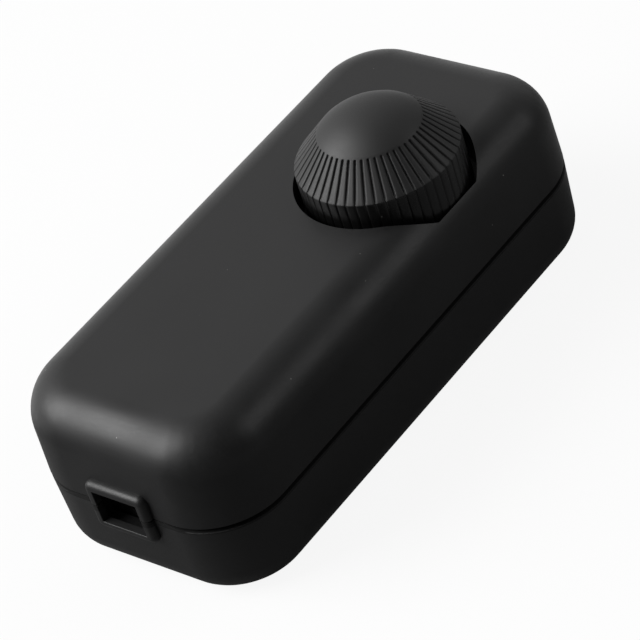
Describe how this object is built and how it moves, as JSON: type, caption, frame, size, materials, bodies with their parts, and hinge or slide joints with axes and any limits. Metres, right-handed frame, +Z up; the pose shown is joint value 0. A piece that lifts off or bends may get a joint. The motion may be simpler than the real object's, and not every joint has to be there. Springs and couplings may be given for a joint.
{
  "type": "inline cord dimmer",
  "caption": "Long rounded black housing in two halves with a cord entry at each end and a ribbed, domed thumb dial in a round well near one end.",
  "frame": {"origin": "middle of the underside, under the centre of the housing's bounding box", "axes": "+X along the housing towards the dial end, +Z up along the dial's axis; -Y is the long side that the dial sits nearest to"},
  "size_m": [0.0922, 0.0408, 0.0399],
  "materials": {
    "black_housing_plastic": "fine spark-eroded grain",
    "black_dial_plastic": "smooth satin",
    "turned_aluminium": "mill",
    "zinc_plated_steel": "zinc plated",
    "nickel_brass": "nickel washed",
    "board_laminate": "phenolic laminate",
    "clamp_plastic": "moulded",
    "terminal_plastic": "moulded",
    "black_epoxy": "moulded",
    "ferrite": "sintered",
    "enamelled_copper": "enamelled",
    "yellow_case_plastic": "moulded",
    "red_case_plastic": "moulded",
    "diode_glass": "lacquered glass",
    "resistor_lacquer": "lacquered",
    "fuse_glass": "clear tube with plated caps"
  },
  "bodies": {
    "housing": {"top_cover": "black_housing_plastic", "base_shell": "black_housing_plastic", "potentiometer_can": "zinc_plated_steel", "potentiometer_washer": "zinc_plated_steel", "potentiometer_nut": "nickel_brass", "circuit_board": "board_laminate", "board_screws": "zinc_plated_steel", "case_screws": "zinc_plated_steel", "cord_clamp_near": "clamp_plastic", "cord_clamp_far": "clamp_plastic", "cord_clamp_screws": "zinc_plated_steel", "terminal_block_input": "terminal_plastic", "terminal_block_output": "terminal_plastic", "terminal_cages": "nickel_brass", "terminal_screws": "zinc_plated_steel", "triac": "black_epoxy", "heat_sink": "turned_aluminium", "heat_sink_screw": "zinc_plated_steel", "choke_core": "ferrite", "choke_winding": "enamelled_copper", "film_capacitor": "yellow_case_plastic", "timing_capacitor": "red_case_plastic", "diac": "diode_glass", "resistors": "resistor_lacquer", "fuse": "fuse_glass", "fuse_clips": "nickel_brass"},
    "dial": {"dial_knob": "black_dial_plastic", "potentiometer_shaft": "turned_aluminium"}
  },
  "joints": [
    {"name": "dial_turn", "type": "hinge", "parent": "housing", "child": "dial", "pos_m": [0.016, -0.0062, 0.0272], "axis": [0, 0, -1], "range_deg": [0, 300]}
  ]
}
